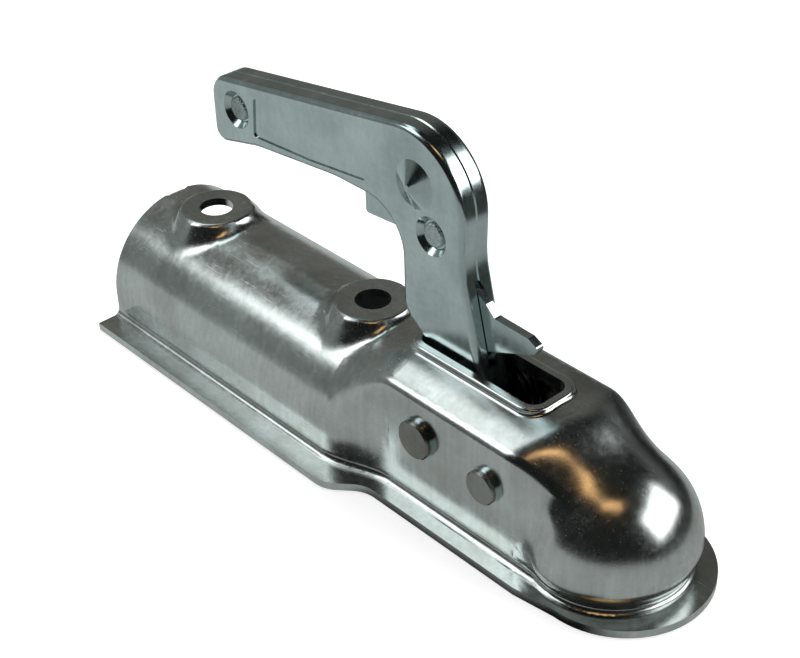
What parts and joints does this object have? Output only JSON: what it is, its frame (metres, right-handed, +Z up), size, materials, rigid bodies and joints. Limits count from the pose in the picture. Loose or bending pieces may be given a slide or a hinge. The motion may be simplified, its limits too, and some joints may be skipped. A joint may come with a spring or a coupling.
{
  "type": "trailer coupling head",
  "caption": "Pressed steel trailer coupling head with a folding trigger handle and a jaw that locks under the tow ball, for a round drawbar tube.",
  "frame": {"origin": "centre of the tow ball that the socket holds", "axes": "+X along the drawbar towards the nose, +Z up, away from the road, +Y to the left when looking along +X"},
  "size_m": [0.2645, 0.086, 0.1283],
  "materials": {
    "housing_zinc": "satin zinc plating",
    "handle_zinc": "bright bluish zinc plating",
    "plain_steel": "plain steel",
    "spring_steel": "dark spring steel"
  },
  "bodies": {
    "base": {"housing": "housing_zinc", "handle_pin": "handle_zinc", "handle_pin_washer_right": "handle_zinc", "handle_pin_washer_left": "handle_zinc", "handle_spacer_right": "plain_steel", "handle_spacer_left": "plain_steel", "handle_spring": "spring_steel", "jaw_pin": "handle_zinc", "jaw_pin_washer_right": "handle_zinc", "jaw_pin_washer_left": "handle_zinc", "jaw_spacer_right": "plain_steel", "jaw_spacer_left": "plain_steel", "jaw_spring": "spring_steel"},
    "handle": {"handle_shell_right": "handle_zinc", "handle_shell_left": "handle_zinc", "grip_rivet": "handle_zinc", "latch_rivet": "handle_zinc", "grip_spacer": "plain_steel", "latch_washer_right": "plain_steel", "latch_washer_left": "plain_steel", "latch_spring": "spring_steel", "cam_block": "plain_steel", "cam_rivet": "plain_steel", "handle_bush": "plain_steel"},
    "latch": {"latch_plate": "handle_zinc"},
    "jaw": {"jaw": "plain_steel", "jaw_bush": "plain_steel"}
  },
  "joints": [
    {"name": "handle_hinge", "type": "hinge", "parent": "base", "child": "handle", "pos_m": [-0.0614, 0, 0.0175], "axis": [0, 1, 0], "range_deg": [0, 40], "stiffness_Nm_per_rad": 0.6, "springref_deg": -28.65},
    {"name": "latch_hinge", "type": "hinge", "parent": "handle", "child": "latch", "pos_m": [-0.0749, 0, 0.0802], "axis": [0, 1, 0], "range_deg": [0, 20], "stiffness_Nm_per_rad": 0.05, "springref_deg": -17.19},
    {"name": "jaw_hinge", "type": "hinge", "parent": "base", "child": "jaw", "pos_m": [-0.0307, 0, 0.0157], "axis": [0, 1, 0], "range_deg": [0, 22], "stiffness_Nm_per_rad": 0.1, "springref_deg": -17.19}
  ],
  "couplings": [
    {"joint": "latch_hinge", "follows": "handle_hinge", "ratio": 0.5},
    {"joint": "jaw_hinge", "follows": "handle_hinge", "ratio": 0.55}
  ]
}
